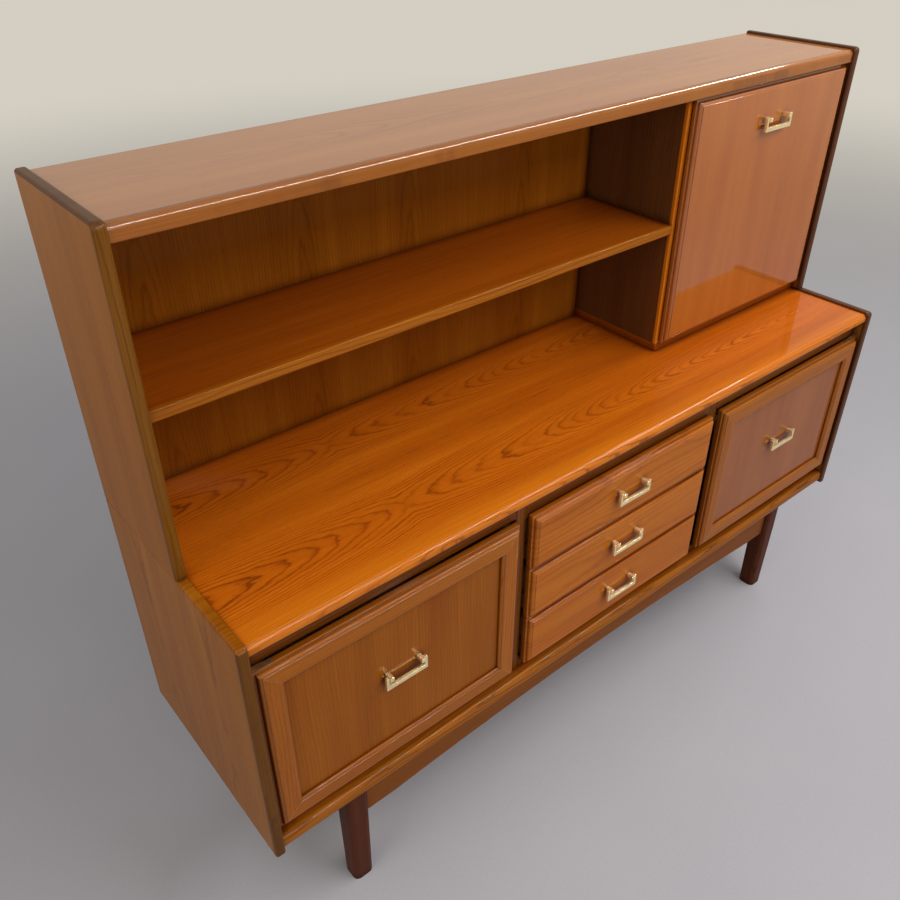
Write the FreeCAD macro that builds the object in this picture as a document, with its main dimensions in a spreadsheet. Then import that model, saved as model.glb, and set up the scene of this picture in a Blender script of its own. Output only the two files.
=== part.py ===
"""Dresser with hutch: a low base on four legs (two cupboards and a bank of three drawers) that
carries a shallower hutch with one open bay, a shelf and a drop-down flap compartment.

Millimetres. X runs along the front, the front faces -Y, Z is up and the floor is Z = 0. The origin
is on the floor, in the middle of the outer box. Every driving size is one cell of the sheet Sizes,
and every length below is an expression of those cells.
"""
import FreeCAD, Part
import Sketcher
import os

NODE_FOLDER = "parts"

DRIVING_SIZES = [
    # carcass
    ("overall_width", 1650, "outer face to outer face of the sides"),
    ("base_depth", 454, "depth of the base sides"),
    ("hutch_depth", 271, "depth of the hutch sides"),
    ("base_height", 485, "height of the base sides"),
    ("hutch_height", 545, "height of the hutch sides"),
    ("leg_height", 288, "floor to the underside of the base floor"),
    ("side_drop", 7, "base sides hang this far below the base floor"),
    ("side_board", 18, "thickness of the four sides"),
    ("base_top_board", 17, "thickness of the base top"),
    ("hutch_top_board", 25, "thickness of the hutch top"),
    ("floor_board", 24, "thickness of the base floor"),
    ("base_partition", 25, "thickness of the base partitions"),
    ("inner_board", 18, "thickness of the hutch partition, its floor and the shelves"),
    ("back_board", 6, "thickness of the back panels"),
    ("back_inset", 6, "back panels sit this far in from the back"),
    ("side_proud", 5, "sides stand this much above the tops"),
    ("side_round", 5, "radius along the front and top edges of the sides"),
    ("side_corner", 9, "radius of the front top corner of the sides, seen from the side"),
    ("top_round", 10, "radius on the front top edge of tops and base floor"),
    ("under_round", 2, "radius on the front lower edge of boards"),
    ("bank_width", 541, "middle to middle of the base partitions"),
    ("open_bay", 1095, "clear width of the open bay of the hutch"),
    ("shelf_rise", 262, "base top to the underside of the hutch shelf"),
    # front rails and reveals
    ("top_rail_height", 41, "rail above doors and drawers"),
    ("bottom_rail_height", 19, "rail below doors and drawers"),
    ("rail_thick", 20, "thickness of these rails"),
    ("stop_lap", 8, "middle rails lap this far behind the drawer fronts and stop them"),
    ("front_setback", 5, "faces of doors, drawers, flap and tops behind the side fronts"),
    ("frame_gap", 2, "play behind doors and flap"),
    ("door_gap", 3, "gap round the doors and above and below the drawers"),
    ("drawer_gap", 2, "gap between drawer fronts"),
    ("reveal", 3.5, "dark gap each side of a base partition"),
    ("flap_inset", 9, "flap edge in from the open side of the hutch partition"),
    ("flap_top_gap", 3, "gap above the flap"),
    ("flap_foot_gap", 3.4, "gap below the flap"),
    # moulded fronts
    ("front_thick", 20, "thickness of doors and drawer fronts"),
    ("flap_thick", 16, "thickness of the flap"),
    ("land_width", 4.5, "flat outer land of the edge moulding"),
    ("land_depth", 9, "land behind the face"),
    ("ovolo_round", 6, "radius of the quarter round"),
    ("quirk", 1.2, "step from the quarter round up to the face"),
    ("mould_width", 11, "edge to face"),
    ("member_width", 44, "width of stiles and door rails"),
    ("bead_width", 5.5, "inner bead of the door frame"),
    ("bead_round", 5, "radius of the inner bead"),
    ("panel_recess", 8, "door panel behind the face"),
    ("panel_thick", 6, "thickness of the door panel"),
    ("groove_depth", 8, "depth of the panel groove"),
    ("panel_play", 0.5, "room for the panel in its groove, each edge"),
    # drawers
    ("drawer_side", 12, "thickness of drawer sides and backs"),
    ("drawer_side_height", 94, "height of the drawer sides"),
    ("side_top_round", 3, "radius on the top edges of drawer sides"),
    ("drawer_lift", 12, "drawer side above the lower edge of its front"),
    ("drawer_inset", 4, "drawer side in from the edge of its front"),
    ("drawer_end_gap", 37, "drawer box short of the base back"),
    ("drawer_base", 4, "thickness of drawer bottoms"),
    ("base_rise", 8, "drawer bottom above the lower edge of the sides"),
    ("base_groove", 5, "depth of the groove for the drawer bottom"),
    ("back_drop", 10, "drawer back below the top of the sides"),
    ("runner_height", 12, "height of the side runners"),
    ("runner_groove", 6, "depth of the runner groove in the drawer side"),
    ("runner_rise", 36, "runner groove above the lower edge of the side"),
    ("runner_play", 0.5, "clearance of the runner in its groove"),
    ("runner_inset", 10, "side runner short of the drawer side, each end"),
    # underframe
    ("leg_inset_x", 177, "leg middle in from the outer face of the side"),
    ("leg_inset_y", 47, "leg middle in from the front and the back"),
    ("leg_top", 46, "width of the leg where the rails meet it"),
    ("leg_foot", 42, "width of the leg at the floor"),
    ("leg_round", 12, "radius on the long edges of the leg"),
    ("apron_height", 105, "height of the underframe rails at the legs"),
    ("apron_rise", 21, "arch of the long rails"),
    ("side_apron_rise", 10, "arch of the side rails"),
    ("apron_flat", 60, "straight end of the arch at each leg"),
    ("apron_thick", 24, "thickness of the underframe rails"),
    # cupboard shelves
    ("cupboard_shelf_rise", 172, "base floor to the underside of a cupboard shelf"),
    ("cupboard_shelf_setback", 84.5, "cupboard shelf behind the front edges of the partitions"),
    ("shelf_play", 0.5, "shelf short of the boards at its ends and back"),
    ("batten_width", 14, "shelf batten out of its board"),
    ("batten_height", 18, "height of a shelf batten"),
    ("batten_inset", 20, "shelf batten short of the front and back edge of the shelf"),
    # handles
    ("handle_width", 85, "outer width of a bail"),
    ("handle_ear", 4.5, "arms of a bail above its pivot"),
    ("handle_drop", 23, "pivot to the underside of the bar"),
    ("handle_bar", 8.5, "height of the grip bar of a bail"),
    ("handle_arm", 5.5, "width of the arms of a bail"),
    ("handle_depth", 5.5, "thickness of a bail, front to back"),
    ("bail_corner", 1.2, "radius of the outer lower corners of a bail"),
    ("bail_tip", 1.5, "chamfer of the upper ends of a bail"),
    ("post_width", 8, "square section of a handle post"),
    ("post_length", 16, "handle post out of the face"),
    ("post_play", 0.5, "gap between a post and the arm of the bail"),
    ("pivot_reach", 11, "bail pivot out of the face"),
    ("pivot_round", 1.5, "radius of the bail pivots"),
    ("pivot_seat", 4, "bail pivot inside its post"),
    ("pivot_play", 0.05, "radial clearance of pivots and hinge pins"),
    ("handle_lift", 13, "bail pivot above the middle of a drawer front"),
    ("door_handle_lift", 20, "bail pivot above the middle of a door"),
    ("flap_handle_drop", 66, "bail pivot below the top of the flap"),
    # hinges and catches
    ("hinge_length", 50, "length of a flap hinge"),
    ("hinge_leaf_width", 16, "pin axis to the edge of a leaf"),
    ("hinge_leaf", 1.2, "thickness of leaves, door plates and brackets"),
    ("knuckle_round", 2.2, "radius of the knuckles"),
    ("hinge_pin", 1.2, "radius of a flap hinge pin"),
    ("knuckle_gap", 0.3, "gap between knuckles"),
    ("knuckle_clear", 0.2, "knuckle clear of the board beside it"),
    ("hinge_inset", 60, "flap hinge in from the end of the flap"),
    ("door_pivot_inset", 18, "door pivot in from the hinged edge"),
    ("door_pin", 1.5, "radius of a door pivot pin"),
    ("bracket_width", 10, "width of door pivot brackets"),
    ("bracket_leg", 16, "height of the bracket leg on the side"),
    ("bracket_gap", 0.3, "bracket clear of the door plate"),
    ("plate_length", 28, "length of the plate on the door edge"),
    ("catch_length", 42, "length of a magnetic catch"),
    ("catch_height", 14, "height of a catch"),
    ("catch_reach", 18, "catch out of the partition"),
    ("catch_corner", 3, "cut corners of a catch"),
    ("catch_play", 0.3, "catch behind the closed door"),
    ("catch_drop", 20, "catch middle below the top of the door"),
]

doc = FreeCAD.newDocument("Dresser")


class Size:
    """A length that keeps both its value and the sheet expression it comes from."""

    def __init__(self, text, value):
        self.text = text
        self.value = value

    def joined(self, sign, other, value):
        return Size("(%s %s %s)" % (self.text, sign, other.text), value)

    def __add__(self, other):
        other = as_size(other)
        return self.joined("+", other, self.value + other.value)

    def __sub__(self, other):
        other = as_size(other)
        return self.joined("-", other, self.value - other.value)

    def __mul__(self, other):
        other = as_size(other)
        return self.joined("*", other, self.value * other.value)

    def __truediv__(self, other):
        other = as_size(other)
        return self.joined("/", other, self.value / other.value)

    def __radd__(self, other):
        return as_size(other) + self

    def __rsub__(self, other):
        return as_size(other) - self

    def __rmul__(self, other):
        return as_size(other) * self

    def __neg__(self):
        return as_size(0) - self


def as_size(number):
    return number if isinstance(number, Size) else Size("(%.6g)" % number, float(number))


def make_sheet():
    """Writes the driving sizes into the sheet and returns them by name."""
    sheet = doc.addObject("Spreadsheet::Sheet", "Sizes")
    named = {}
    for row, (alias, number, note) in enumerate(DRIVING_SIZES, start=1):
        sheet.set("A%d" % row, alias)
        sheet.set("B%d" % row, str(number))
        sheet.set("C%d" % row, note)
        sheet.setAlias("B%d" % row, alias)
        named[alias] = Size("Sizes." + alias, float(number))
    doc.recompute()
    return named


S = make_sheet()


# ---- helpers ---------------------------------------------------------------------------------

def bind(target, prop, size):
    target.setExpression(prop, as_size(size).text)


def place(target, x, y, z, turn=None):
    """Puts a sub-part at x, y, z; turn is (axis vector, degrees)."""
    if turn:
        target.Placement.Rotation = FreeCAD.Rotation(FreeCAD.Vector(*turn[0]), turn[1])
    for axis, size in zip("xyz", (x, y, z)):
        bind(target, "Placement.Base." + axis, size)


def new_body(label, x, y, z, turn=None):
    body = doc.addObject("PartDesign::Body", label)
    place(body, x, y, z, turn)
    return body


def corner_points(points, index):
    """The outline vertices that one corner gives: one, or the two ends of its rounding."""
    u, v = (as_size(c) for c in points[index][:2])
    if len(points[index]) < 3:
        return [(u, v)]
    radius = as_size(points[index][2])
    before = points[index - 1]
    after = points[(index + 1) % len(points)]
    ends = []
    for neighbour in (before, after):
        du = as_size(neighbour[0]).value - u.value
        dv = as_size(neighbour[1]).value - v.value
        if abs(du) > abs(dv):
            ends.append((u + radius if du > 0 else u - radius, v))
        else:
            ends.append((u, v + radius if dv > 0 else v - radius))
    return ends


def locate(sketch, geometry, position, u, v):
    """Fixes one sketch point by its two distances from the sketch origin."""
    for kind, size in (("DistanceX", u), ("DistanceY", v)):
        index = sketch.addConstraint(
            Sketcher.Constraint(kind, -1, 1, geometry, position, size.value))
        sketch.setExpression("Constraints[%d]" % index, size.text)


def add_arc(sketch, start, end, centre, radius):
    """A counter-clockwise arc from start to end, with its radius bound."""
    middle = FreeCAD.Vector(centre[0], centre[1], 0)
    a = FreeCAD.Vector(start[0].value, start[1].value, 0) - middle
    b = FreeCAD.Vector(end[0].value, end[1].value, 0) - middle
    first = a.getAngle(FreeCAD.Vector(1, 0, 0)) * (1 if a.y >= 0 else -1)
    last = b.getAngle(FreeCAD.Vector(1, 0, 0)) * (1 if b.y >= 0 else -1)
    circle = Part.Circle(middle, FreeCAD.Vector(0, 0, 1), radius.value)
    arc = sketch.addGeometry(Part.ArcOfCircle(circle, first, last))
    index = sketch.addConstraint(Sketcher.Constraint("Radius", arc, radius.value))
    sketch.setExpression("Constraints[%d]" % index, radius.text)
    return arc


def add_loop(sketch, points):
    """One closed outline, counter-clockwise. A point is (u, v) or (u, v, corner radius)."""
    vertices = []
    for index in range(len(points)):
        ends = corner_points(points, index)
        for number, end in enumerate(ends):
            rounding = as_size(points[index][2]) if len(ends) == 2 and number == 0 else None
            vertices.append((end, rounding, points[index]))
    edges = []
    for index, (start, rounding, corner) in enumerate(vertices):
        end = vertices[(index + 1) % len(vertices)][0]
        if rounding is None:
            line = Part.LineSegment(FreeCAD.Vector(start[0].value, start[1].value, 0),
                                    FreeCAD.Vector(end[0].value, end[1].value, 0))
            edges.append((sketch.addGeometry(line), 1, 2))
        else:
            u, v = as_size(corner[0]).value, as_size(corner[1]).value
            centre = (start[0].value + end[0].value - u, start[1].value + end[1].value - v)
            edges.append((add_arc(sketch, start, end, centre, rounding), 1, 2))
    for index, (edge, first, last) in enumerate(edges):
        following = edges[(index + 1) % len(edges)]
        sketch.addConstraint(Sketcher.Constraint("Coincident", edge, last, following[0], following[1]))
        locate(sketch, edge, first, *vertices[index][0])


def add_circle(sketch, u, v, radius):
    u, v, radius = as_size(u), as_size(v), as_size(radius)
    circle = sketch.addGeometry(
        Part.Circle(FreeCAD.Vector(u.value, v.value, 0), FreeCAD.Vector(0, 0, 1), radius.value))
    index = sketch.addConstraint(Sketcher.Constraint("Radius", circle, radius.value))
    sketch.setExpression("Constraints[%d]" % index, radius.text)
    locate(sketch, circle, 3, u, v)


def new_sketch(body, role, name, offset=None):
    """An empty sketch on an origin plane of the body, moved along its normal by offset."""
    sketch = body.newObject("Sketcher::SketchObject", body.Label + "_" + name)
    plane = [f for f in body.Origin.OriginFeatures if f.Role == role][0]
    sketch.AttachmentSupport = [(plane, "")]
    sketch.MapMode = "FlatFace"
    if offset is not None:
        bind(sketch, "AttachmentOffset.Base.z", offset)
    return sketch


def outline(body, role, name, loops, offset=None):
    sketch = new_sketch(body, role, name, offset)
    for points in loops:
        add_loop(sketch, points)
    return sketch


def rectangle(u0, v0, u1, v1):
    return [(u0, v0), (u1, v0), (u1, v1), (u0, v1)]


def pad(body, sketch, length, middle=False, backwards=False):
    feature = body.newObject("PartDesign::Pad", sketch.Label + "_pad")
    feature.Profile = sketch
    feature.Midplane = middle
    feature.Reversed = backwards
    bind(feature, "Length", length)
    sketch.Visibility = False
    doc.recompute()
    return feature


def pocket(body, sketch, length, middle=False, backwards=False):
    feature = body.newObject("PartDesign::Pocket", sketch.Label + "_cut")
    feature.Profile = sketch
    feature.Midplane = middle
    feature.Reversed = backwards
    bind(feature, "Length", length)
    doc.recompute()
    return feature


def edges_at(feature, x=None, y=None, z=None):
    """Names of the edges that lie wholly at the given local coordinates."""
    names = []
    for number, edge in enumerate(feature.Shape.Edges, start=1):
        box = edge.BoundBox
        spans = ((x, box.XMin, box.XMax), (y, box.YMin, box.YMax), (z, box.ZMin, box.ZMax))
        wanted = [(as_size(at).value, low, high) for at, low, high in spans if at is not None]
        if all(abs(low - at) < 0.01 and abs(high - at) < 0.01 for at, low, high in wanted):
            names.append("Edge%d" % number)
    return names


def dress(body, kind, base, names, prop, size):
    feature = body.newObject("PartDesign::" + kind, body.Label + "_" + kind.lower())
    feature.Base = (base, names)
    bind(feature, prop, size)
    doc.recompute()
    return feature


def fillet(body, base, names, radius):
    return dress(body, "Fillet", base, names, "Radius", radius)


def chamfer(body, base, names, size):
    return dress(body, "Chamfer", base, names, "Size", size)


def group(label, members):
    """Identical or paired pieces that share one node, each still its own solid."""
    compound = doc.addObject("Part::Compound", label)
    compound.Links = members
    doc.recompute()
    return compound


nodes = []


def keep(item):
    nodes.append(item)
    return item


# ---- levels and planes that several pieces share ----------------------------------------------

half_width = S["overall_width"] / 2
inside_x = half_width - S["side_board"]
back_y = (S["base_depth"] - S["front_setback"] + S["post_length"]) / 2
base_front = back_y - S["base_depth"]
hutch_front = back_y - S["hutch_depth"]
base_face = base_front + S["front_setback"]
hutch_face = hutch_front + S["front_setback"]
base_frame = base_face + S["front_thick"] + S["frame_gap"]
hutch_frame = hutch_face + S["flap_thick"] + S["frame_gap"]
back_face = back_y - S["back_inset"] - S["back_board"]

floor_under = S["leg_height"]
floor_top = floor_under + S["floor_board"]
base_foot = floor_under - S["side_drop"]
base_rim = base_foot + S["base_height"]
base_top = base_rim - S["side_proud"]
base_top_under = base_top - S["base_top_board"]
hutch_rim = base_rim + S["hutch_height"]
hutch_top = hutch_rim - S["side_proud"]
hutch_top_under = hutch_top - S["hutch_top_board"]
compartment_floor = base_top + S["inner_board"]

fronts_top = base_top_under - S["top_rail_height"] - S["door_gap"]
fronts_under = floor_top + S["bottom_rail_height"] + S["door_gap"]
fronts_height = fronts_top - fronts_under
partition_x = S["bank_width"] / 2
partition_in = partition_x - S["base_partition"] / 2
partition_out = partition_x + S["base_partition"] / 2

drawer_width = 2 * (partition_in - S["reveal"])
drawer_height = (fronts_height - 2 * S["drawer_gap"]) / 3
drawer_length = back_face - S["drawer_end_gap"] - base_face - S["front_thick"]
door_inner = partition_out + S["reveal"]
door_outer = inside_x - S["door_gap"]
door_width = door_outer - door_inner

hutch_partition = S["open_bay"] - inside_x
flap_left = hutch_partition + S["flap_inset"]
flap_right = inside_x - S["door_gap"]
flap_width = flap_right - flap_left
flap_under = compartment_floor + S["flap_foot_gap"]
flap_height = hutch_top_under - S["flap_top_gap"] - flap_under


# ---- carcass boards ---------------------------------------------------------------------------

def side_panel(label, x, front, depth, z, height):
    """A side with a rounded front top corner. One round runs up the front and along the top."""
    body = new_body(label, x, front, z)
    profile = outline(body, "YZ_Plane", "profile",
                      [[(0, 0), (depth, 0), (depth, height), (0, height, S["side_corner"])]])
    board = pad(body, profile, S["side_board"])
    square = edges_at(board, y=depth) + edges_at(board, z=0)
    for face in (as_size(0), S["side_board"]):
        rounded = [name for name in edges_at(board, x=face) if name not in square]
        board = fillet(body, board, rounded, S["side_round"])
        square = edges_at(board, y=depth) + edges_at(board, z=0)
    return keep(body)


def lipped_panel(label, x, length, front, depth, z, thickness, radius):
    """A level board whose front top edge is rounded; its section runs front to back."""
    body = new_body(label, x, front, z)
    section = outline(body, "YZ_Plane", "section",
                      [[(0, 0, S["under_round"]), (depth, 0), (depth, thickness),
                        (0, thickness, radius)]])
    pad(body, section, length)
    return body


def upright(label, x, front, depth, z, height, thickness):
    """A partition with a softened front edge."""
    body = new_body(label, x, front, z)
    r = S["under_round"]
    section = outline(body, "XY_Plane", "section",
                      [[(0, 0, r), (thickness, 0, r), (thickness, depth), (0, depth)]])
    pad(body, section, height)
    return body


def plain_board(label, x, y, z, size_x, size_y, size_z):
    body = new_body(label, x, y, z)
    section = outline(body, "XY_Plane", "section", [rectangle(0, 0, size_x, size_y)])
    pad(body, section, size_z)
    return body


def make_base_carcass():
    side_panel("base_side_left", -half_width, base_front, S["base_depth"], base_foot,
               S["base_height"])
    side_panel("base_side_right", inside_x, base_front, S["base_depth"], base_foot,
               S["base_height"])
    length = 2 * inside_x
    depth = back_y - base_face
    keep(lipped_panel("base_top", -inside_x, length, base_face, depth, base_top_under,
                      S["base_top_board"], S["top_round"]))
    keep(lipped_panel("base_floor", -inside_x, length, base_face, depth, floor_under,
                      S["floor_board"], S["top_round"]))
    clear_height = base_top_under - floor_top
    partition_depth = back_face - base_frame
    for label, x in (("base_partition_left", -partition_out),
                     ("base_partition_right", partition_in)):
        keep(upright(label, x, base_frame, partition_depth, floor_top, clear_height,
                     S["base_partition"]))
    keep(plain_board("base_back", -inside_x, back_face, floor_top, length, S["back_board"],
                     clear_height))
    make_front_rails()


def make_front_rails():
    """Set-back rails above and below the fronts; the middle ones lap behind the drawers."""
    bay = inside_x - partition_out
    bays = (("left", -inside_x, bay, as_size(0)),
            ("middle", -partition_in, 2 * partition_in, S["door_gap"] + S["stop_lap"]),
            ("right", partition_out, bay, as_size(0)))
    thick = S["rail_thick"]
    high = S["top_rail_height"]
    low = S["bottom_rail_height"]
    top_rails = [plain_board("top_rail_" + name, x, base_frame, base_top_under - high - lap,
                             length, thick, high + lap) for name, x, length, lap in bays]
    bottom_rails = [plain_board("bottom_rail_" + name, x, base_frame, floor_top, length, thick,
                                low + lap) for name, x, length, lap in bays]
    keep(group("front_top_rails", top_rails))
    keep(group("front_bottom_rails", bottom_rails))


def make_cupboard_shelves():
    """A loose shelf in each cupboard, on a batten at each end."""
    z = floor_top + S["cupboard_shelf_rise"]
    bay = inside_x - partition_out
    back = back_face - S["shelf_play"]
    depth = back - base_frame - S["cupboard_shelf_setback"]
    length = bay - 2 * S["shelf_play"]
    wide = S["batten_width"]
    shelves = []
    battens = []
    for side, x in (("left", -inside_x), ("right", partition_out)):
        shelves.append(lipped_panel("cupboard_shelf_" + side, x + S["shelf_play"], length,
                                    back - depth, depth, z, S["inner_board"], S["under_round"]))
        for end, batten_x in (("a", x), ("b", x + bay - wide)):
            battens.append(plain_board("shelf_batten_%s_%s" % (side, end), batten_x,
                                       back - depth + S["batten_inset"], z - S["batten_height"],
                                       wide, depth - 2 * S["batten_inset"], S["batten_height"]))
    keep(group("cupboard_shelves", shelves))
    keep(group("shelf_battens", battens))


# ---- underframe -------------------------------------------------------------------------------

def leg(label, x, y):
    """A leg: a square block where the rails meet it, tapered below, with rounded edges."""
    body = new_body(label, x, y, 0)
    a = S["leg_top"] / 2
    shoulder = S["leg_height"] - S["apron_height"]
    taper = outline(body, "XY_Plane", "shoulder", [rectangle(-a, -a, a, a)], shoulder)
    shaft = body.newObject("PartDesign::Pad", label + "_shaft")
    shaft.Profile = taper
    shaft.Reversed = True
    bind(shaft, "Length", shoulder)
    slope = (S["leg_top"] - S["leg_foot"]) / 2 / shoulder
    shaft.setExpression("TaperAngle", "-atan(%s)" % slope.text)
    doc.recompute()
    head = outline(body, "XY_Plane", "head", [rectangle(-a, -a, a, a)], shoulder)
    block = pad(body, head, S["apron_height"])
    long_edges = ["Edge%d" % number for number, edge in enumerate(block.Shape.Edges, start=1)
                  if edge.BoundBox.ZLength > 1]
    fillet(body, block, long_edges, S["leg_round"])
    return keep(body)


def arched_rail(label, x, y, length, rise, turn=None):
    """An underframe rail whose lower edge arches between straight ends."""
    body = new_body(label, x, y, floor_under - S["apron_height"], turn)
    sketch = new_sketch(body, "XZ_Plane", "outline")
    flat = S["apron_flat"]
    height = S["apron_height"]
    span = length - 2 * flat
    radius = (span * span / 4 + rise * rise) / (2 * rise)
    corners = [(length - flat, as_size(0)), (length, as_size(0)), (length, height),
               (as_size(0), height), (as_size(0), as_size(0)), (flat, as_size(0))]
    lines = []
    for start, end in zip(corners, corners[1:]):
        segment = Part.LineSegment(FreeCAD.Vector(start[0].value, start[1].value, 0),
                                   FreeCAD.Vector(end[0].value, end[1].value, 0))
        lines.append(sketch.addGeometry(segment))
    centre = (length.value / 2, rise.value - radius.value)
    arch = add_arc(sketch, corners[0], corners[-1], centre, radius)
    for line, corner in zip(lines, corners):
        locate(sketch, line, 1, *corner)
    locate(sketch, lines[-1], 2, *corners[-1])
    for line, following in zip(lines, lines[1:]):
        sketch.addConstraint(Sketcher.Constraint("Coincident", line, 2, following, 1))
    sketch.addConstraint(Sketcher.Constraint("Coincident", arch, 1, lines[0], 1))
    sketch.addConstraint(Sketcher.Constraint("Coincident", arch, 2, lines[-1], 2))
    pad(body, sketch, S["apron_thick"], middle=True)
    return body


def make_underframe():
    leg_x = half_width - S["leg_inset_x"]
    front_y = base_front + S["leg_inset_y"]
    rear_y = back_y - S["leg_inset_y"]
    for label, x, y in (("leg_front_left", -leg_x, front_y), ("leg_front_right", leg_x, front_y),
                        ("leg_back_left", -leg_x, rear_y), ("leg_back_right", leg_x, rear_y)):
        leg(label, x, y)
    # the rails stop at the leg where its widest section, the head, begins
    reach = S["leg_top"] / 2
    long_rails = [arched_rail("underframe_rail_" + name, -leg_x + reach, y,
                              2 * (leg_x - reach), S["apron_rise"])
                  for name, y in (("front", front_y), ("back", rear_y))]
    keep(group("underframe_long_rails", long_rails))
    side_rails = [arched_rail("underframe_rail_" + name, x, front_y + reach,
                              rear_y - front_y - 2 * reach, S["side_apron_rise"],
                              ((0, 0, 1), 90))
                  for name, x in (("left", -leg_x), ("right", leg_x))]
    keep(group("underframe_side_rails", side_rails))


# ---- moulded fronts ---------------------------------------------------------------------------

def slab_front(label, x, face, z, width, height, thick):
    """A solid front with a land, a quarter round and a small quirk all round its face."""
    body = new_body(label, x, face, z)
    land = S["land_width"]
    mould = S["mould_width"]
    back = outline(body, "XZ_Plane", "back", [rectangle(0, 0, width, height)], -thick)
    pad(body, back, thick - S["land_depth"])
    ring = outline(body, "XZ_Plane", "ring",
                   [rectangle(land, land, width - land, height - land)], -S["land_depth"])
    raised = pad(body, ring, S["land_depth"] - S["quirk"])
    raised = fillet(body, raised, edges_at(raised, y=S["quirk"]), S["ovolo_round"])
    field = outline(body, "XZ_Plane", "field",
                    [rectangle(mould, mould, width - mould, height - mould)], -S["quirk"])
    pad(body, field, S["quirk"])
    return body


def frame_member(label, x, y, z, length, turn_degrees, hinge_cuts=()):
    """A stile or rail of a door: moulded outer edge, bead, panel groove, mitred ends."""
    body = new_body(label, x, y, z, ((0, 1, 0), turn_degrees))
    w = S["member_width"]
    thick = S["front_thick"]
    bead = w - S["bead_width"]
    groove = w - S["groove_depth"]
    panel_back = S["panel_recess"] + S["panel_thick"]
    section = outline(body, "XY_Plane", "section", [[
        (0, S["land_depth"]),
        (S["land_width"], S["land_depth"]),
        (S["land_width"], S["quirk"], S["ovolo_round"]),
        (S["mould_width"], S["quirk"]),
        (S["mould_width"], 0),
        (bead, 0),
        (bead, S["quirk"]),
        (w, S["quirk"], S["bead_round"]),
        (w, S["panel_recess"]),
        (groove, S["panel_recess"]),
        (groove, panel_back),
        (w, panel_back),
        (w, thick),
        (0, thick)]])
    pad(body, section, length)
    over = w + 1
    mitres = outline(body, "XZ_Plane", "mitre",
                     [[(0, 0), (over, 0), (over, over)],
                      [(0, length), (over, length - over), (over, length)]])
    pocket(body, mitres, 2 * thick + 2, middle=True)
    return body


def framed_door(name, left):
    """Four mitred members round a flat panel."""
    right = left + door_width
    top = fronts_under + fronts_height
    stiles = [frame_member(name + "_stile_a", left, base_face, fronts_under, fronts_height, 0),
              frame_member(name + "_stile_b", right, base_face, top, fronts_height, 180)]
    keep(group(name + "_stiles", stiles))
    rails = [frame_member(name + "_rail_top", left, base_face, top, door_width, 90),
             frame_member(name + "_rail_bottom", right, base_face, fronts_under, door_width, -90)]
    keep(group(name + "_rails", rails))
    edge = S["member_width"] - S["groove_depth"] + S["panel_play"]
    keep(plain_board(name + "_panel", left + edge, base_face + S["panel_recess"],
                     fronts_under + edge, door_width - 2 * edge, S["panel_thick"],
                     fronts_height - 2 * edge))


# ---- drawers ----------------------------------------------------------------------------------

def drawer_side(label, x, y, z, turn_degrees):
    """One side: runner groove outside, groove for the bottom inside, rounded top edge."""
    body = new_body(label, x, y, z, ((0, 0, 1), turn_degrees))
    t = S["drawer_side"]
    h_side = S["drawer_side_height"]
    slot = S["base_rise"]
    slot_top = slot + S["drawer_base"]
    inner = t - S["base_groove"]
    run = S["runner_rise"]
    run_top = run + S["runner_height"] + 2 * S["runner_play"]
    deep = S["runner_groove"]
    section = outline(body, "XZ_Plane", "section", [[
        (0, 0), (t, 0), (t, slot), (inner, slot), (inner, slot_top), (t, slot_top),
        (t, h_side, S["side_top_round"]), (0, h_side, S["side_top_round"]),
        (0, run_top), (deep, run_top), (deep, run), (0, run)]])
    pad(body, section, drawer_length, middle=True)
    return body


def make_drawer(number, z):
    name = "drawer_%d" % number
    keep(slab_front(name + "_front", -drawer_width / 2, base_face, z, drawer_width,
                    drawer_height, S["front_thick"]))
    half_box = drawer_width / 2 - S["drawer_inset"]
    front = base_face + S["front_thick"]
    middle = front + drawer_length / 2
    low = z + S["drawer_lift"]
    t = S["drawer_side"]
    base_top_z = low + S["base_rise"] + S["drawer_base"]
    back_height = S["drawer_side_height"] - S["base_rise"] - S["drawer_base"] - S["back_drop"]
    inner_width = 2 * (half_box - t)
    walls = [drawer_side(name + "_side_left", -half_box, middle, low, 0),
             drawer_side(name + "_side_right", half_box, middle, low, 180),
             plain_board(name + "_back", -inner_width / 2, front + drawer_length - t,
                         base_top_z, inner_width, t, back_height)]
    keep(group(name + "_box", walls))
    reach = half_box - t + S["base_groove"]
    keep(plain_board(name + "_bottom", -reach, front, low + S["base_rise"], 2 * reach,
                     drawer_length, S["drawer_base"]))


def make_drawers():
    runners = []
    half_box = drawer_width / 2 - S["drawer_inset"]
    reach = partition_in - half_box + S["runner_groove"] - S["runner_play"]
    y = base_face + S["front_thick"] + S["runner_inset"]
    length = drawer_length - 2 * S["runner_inset"]
    for number in (1, 2, 3):
        z = fronts_top - number * drawer_height - (number - 1) * S["drawer_gap"]
        make_drawer(number, z)
        runner_z = z + S["drawer_lift"] + S["runner_rise"] + S["runner_play"]
        for side, x in (("left", -partition_in), ("right", partition_in - reach)):
            runners.append(plain_board("drawer_runner_%d_%s" % (number, side), x, y, runner_z,
                                       reach, length, S["runner_height"]))
    keep(group("drawer_runners", runners))


# ---- hutch ------------------------------------------------------------------------------------

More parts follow.
